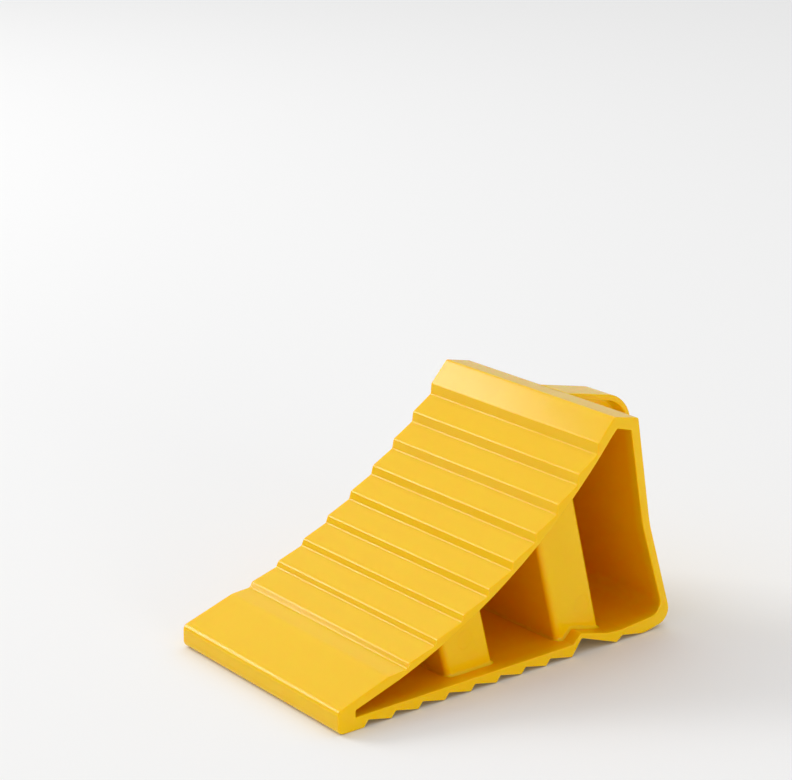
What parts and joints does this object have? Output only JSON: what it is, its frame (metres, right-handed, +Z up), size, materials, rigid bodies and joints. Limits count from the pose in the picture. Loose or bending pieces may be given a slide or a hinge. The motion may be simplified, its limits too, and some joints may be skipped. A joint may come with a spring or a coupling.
{
  "type": "wheel chock",
  "caption": "Hollow yellow plastic wheel chock: a stepped, tyre-curved ramp on a toothed base, with box ribs inside and a rimmed handle behind.",
  "frame": {"origin": "on the ground under the middle of the chock's whole length and width", "axes": "+X from the nose to the heel and handle, +Y towards the side on which the ribs are open, +Z up"},
  "size_m": [0.2142, 0.12, 0.1111],
  "materials": {
    "yellow_plastic": "semi-gloss injection-moulded polypropylene, self-coloured safety yellow"
  },
  "bodies": {
    "root": {"nose": "yellow_plastic", "toe_ramp": "yellow_plastic", "tread_bar_1": "yellow_plastic", "tread_bar_2": "yellow_plastic", "tread_bar_3": "yellow_plastic", "tread_bar_4": "yellow_plastic", "tread_bar_5": "yellow_plastic", "tread_bar_6": "yellow_plastic", "tread_bar_7": "yellow_plastic", "tread_bar_8": "yellow_plastic", "crest": "yellow_plastic", "back_wall": "yellow_plastic", "heel": "yellow_plastic", "rear_sole": "yellow_plastic", "base_arch": "yellow_plastic", "base_plate": "yellow_plastic", "front_rib_front_wall": "yellow_plastic", "front_rib_rear_wall": "yellow_plastic", "front_rib_face": "yellow_plastic", "rear_rib_front_wall": "yellow_plastic", "rear_rib_rear_wall": "yellow_plastic", "rear_rib_face": "yellow_plastic", "nose_pocket_end": "yellow_plastic", "middle_pocket_end": "yellow_plastic", "rear_pocket_end": "yellow_plastic", "handle_strap": "yellow_plastic", "handle_web": "yellow_plastic"}
  },
  "joints": []
}
